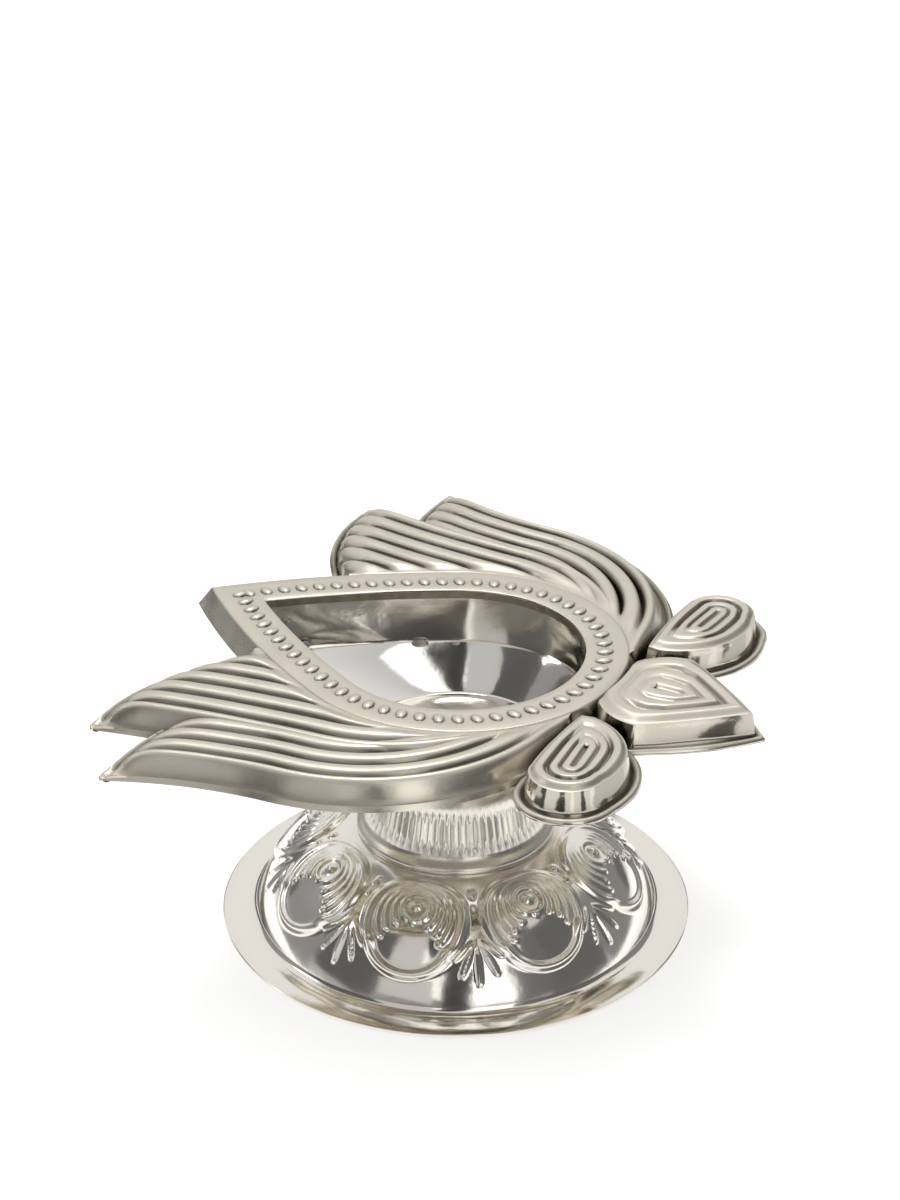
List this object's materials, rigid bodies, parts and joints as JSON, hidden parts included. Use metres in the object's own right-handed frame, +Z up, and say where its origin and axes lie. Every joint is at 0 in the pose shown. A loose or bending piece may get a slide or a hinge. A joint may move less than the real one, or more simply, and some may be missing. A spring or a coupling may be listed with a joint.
{
  "type": "aarti lamp",
  "caption": "Lotus-shaped oil lamp in sheet metal: a teardrop bowl under a pressed petal top with beaded rim, on a fluted neck and a domed round foot with medallions.",
  "frame": {"origin": "centre of the round foot's underside, on the table", "axes": "+Z up along the neck's axis; -X towards the bowl's pointed lip and +X towards the sepals; +Y to the left of the lip-to-sepal line seen from above with the sepals ahead"},
  "size_m": [0.079, 0.0886, 0.0386],
  "materials": {
    "polished_white_metal": "polished",
    "soft_solder": "satin"
  },
  "bodies": {
    "root": {"lotus_shell": "polished_white_metal", "bowl_wall": "polished_white_metal", "bowl_dish": "polished_white_metal", "neck_collar": "polished_white_metal", "foot_dome": "polished_white_metal", "solder_lotus_to_wall": "soft_solder", "solder_wall_to_dish": "soft_solder", "solder_dish_to_collar": "soft_solder", "solder_collar_to_foot": "soft_solder"}
  },
  "joints": []
}
